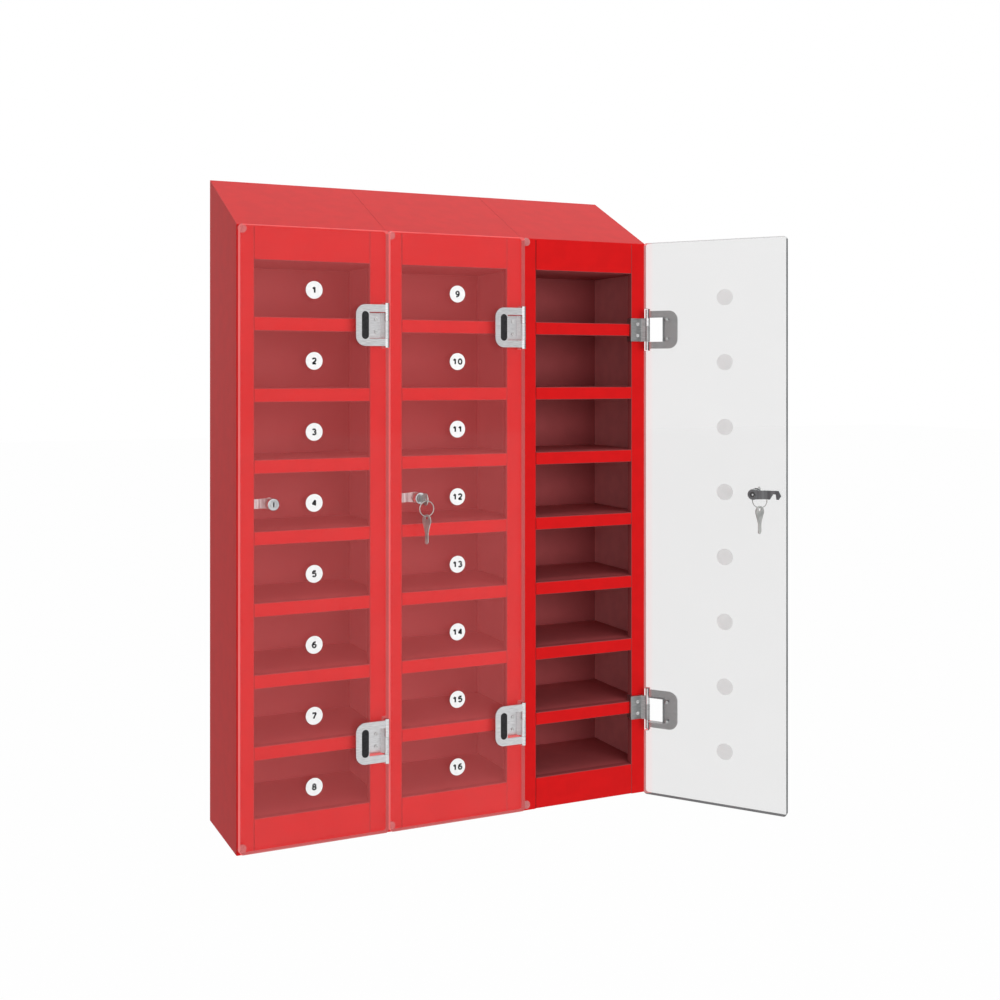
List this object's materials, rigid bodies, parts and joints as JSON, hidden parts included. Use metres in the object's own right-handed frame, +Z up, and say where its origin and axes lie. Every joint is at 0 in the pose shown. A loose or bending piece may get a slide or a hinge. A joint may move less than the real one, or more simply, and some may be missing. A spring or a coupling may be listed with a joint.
{
  "type": "cell phone locker box",
  "caption": "Nest of wall-hung red steel phone lockers with open compartments behind clear, full-height, key-locked doors.",
  "frame": {"origin": "middle of the underside, half way along the nest and half way from its front face to the wall", "axes": "+X to the right along the front, +Y from the front face to the wall, +Z up"},
  "size_m": [0.8954, 0.3833, 1.072],
  "materials": {
    "cabinet_red": "satin signal-red powder coat",
    "clear_plastic": "clear, polished faces, grey edges",
    "disc_white": "smooth white with dark numerals",
    "hinge_steel": "bright brushed",
    "screw_steel": "bright",
    "zinc_steel": "zinc-plated",
    "black_plastic": "satin black",
    "clear_rubber": "soft clear, red showing through",
    "lock_chrome": "polished",
    "cam_steel": "dark, lightly brushed",
    "key_nickel": "nickel-plated"
  },
  "bodies": {
    "cabinet": {"side_left_1": "cabinet_red", "side_left_2": "cabinet_red", "side_left_3": "cabinet_red", "side_right_1": "cabinet_red", "side_right_2": "cabinet_red", "side_right_3": "cabinet_red", "back_1": "cabinet_red", "back_2": "cabinet_red", "back_3": "cabinet_red", "roof_1": "cabinet_red", "roof_2": "cabinet_red", "roof_3": "cabinet_red", "base_1": "cabinet_red", "base_2": "cabinet_red", "base_3": "cabinet_red", "shelves_1": "cabinet_red", "shelves_2": "cabinet_red", "shelves_3": "cabinet_red", "hinge_frame_leaves": "hinge_steel", "hinge_frame_screws": "screw_steel", "hinge_pins": "screw_steel", "nesting_bolts": "zinc_steel", "nesting_nuts": "zinc_steel", "door_buffers": "clear_rubber"},
    "door_panel_1": {"door_1": "clear_plastic", "number_discs_1": "disc_white", "hinge_plates_1": "hinge_steel", "hinge_covers_1": "black_plastic", "plate_rivets_1": "screw_steel", "lock_body_1": "lock_chrome", "lock_nut_1": "zinc_steel"},
    "plug_1": {"lock_plug_1": "lock_chrome", "lock_cam_1": "cam_steel", "cam_bolt_1": "zinc_steel"},
    "door_panel_2": {"door_2": "clear_plastic", "number_discs_2": "disc_white", "hinge_plates_2": "hinge_steel", "hinge_covers_2": "black_plastic", "plate_rivets_2": "screw_steel", "lock_body_2": "lock_chrome", "lock_nut_2": "zinc_steel"},
    "plug_2": {"lock_plug_2": "lock_chrome", "lock_cam_2": "cam_steel", "cam_bolt_2": "zinc_steel"},
    "door_panel_3": {"door_3": "clear_plastic", "number_discs_3": "disc_white", "hinge_plates_3": "hinge_steel", "hinge_covers_3": "black_plastic", "plate_rivets_3": "screw_steel", "lock_body_3": "lock_chrome", "lock_nut_3": "zinc_steel"},
    "plug_3": {"lock_plug_3": "lock_chrome", "lock_cam_3": "cam_steel", "cam_bolt_3": "zinc_steel"},
    "key_in_lock_2": {"key_2": "key_nickel"},
    "ring_2": {"key_ring_2": "key_nickel"},
    "spare_2": {"spare_key_2": "key_nickel"},
    "key_in_lock_3": {"key_3": "key_nickel"},
    "ring_3": {"key_ring_3": "key_nickel"},
    "spare_3": {"spare_key_3": "key_nickel"}
  },
  "joints": [
    {"name": "door_hinge_1", "type": "hinge", "parent": "cabinet", "child": "door_panel_1", "pos_m": [-0.1295, -0.0994, 0.49], "axis": [0, 0, 1], "range_deg": [0, 130]},
    {"name": "door_hinge_2", "type": "hinge", "parent": "cabinet", "child": "door_panel_2", "pos_m": [0.1205, -0.0994, 0.49], "axis": [0, 0, 1], "range_deg": [0, 130]},
    {"name": "door_hinge_3", "type": "hinge", "parent": "cabinet", "child": "door_panel_3", "pos_m": [0.3705, -0.0994, 0.49], "axis": [0, 0, 1], "range_deg": [-128, 2]},
    {"name": "lock_turn_1", "type": "hinge", "parent": "door_panel_1", "child": "plug_1", "pos_m": [-0.3205, -0.102, 0.544], "axis": [0, 1, 0], "range_deg": [0, 90]},
    {"name": "lock_turn_2", "type": "hinge", "parent": "door_panel_2", "child": "plug_2", "pos_m": [-0.0705, -0.102, 0.544], "axis": [0, 1, 0], "range_deg": [0, 90]},
    {"name": "lock_turn_3", "type": "hinge", "parent": "door_panel_3", "child": "plug_3", "pos_m": [0.49014, -0.24831, 0.544], "axis": [-0.788, -0.6157, 0], "range_deg": [0, 90]},
    {"name": "key_slide_2", "type": "slide", "parent": "plug_2", "child": "key_in_lock_2", "axis": [0, -1, 0], "range_m": [0, 0.024]},
    {"name": "ring_swing_2", "type": "hinge", "parent": "key_in_lock_2", "child": "ring_2", "pos_m": [-0.0705, -0.1247, 0.5418], "axis": [1, 0, 0], "range_deg": [-60, 8]},
    {"name": "spare_key_swing_2", "type": "hinge", "parent": "ring_2", "child": "spare_2", "pos_m": [-0.0705, -0.1247, 0.5148], "axis": [0.9397, 0.342, 0], "range_deg": [-30, 12]},
    {"name": "key_slide_3", "type": "slide", "parent": "plug_3", "child": "key_in_lock_3", "axis": [0.788, 0.6157, 0], "range_m": [0, 0.024]},
    {"name": "ring_swing_3", "type": "hinge", "parent": "key_in_lock_3", "child": "ring_3", "pos_m": [0.50803, -0.23433, 0.5418], "axis": [-0.6157, 0.788, 0], "range_deg": [-60, 8]},
    {"name": "spare_key_swing_3", "type": "hinge", "parent": "ring_3", "child": "spare_3", "pos_m": [0.50803, -0.23433, 0.5148], "axis": [-0.1392, 0.9903, 0], "range_deg": [-30, 12]}
  ]
}
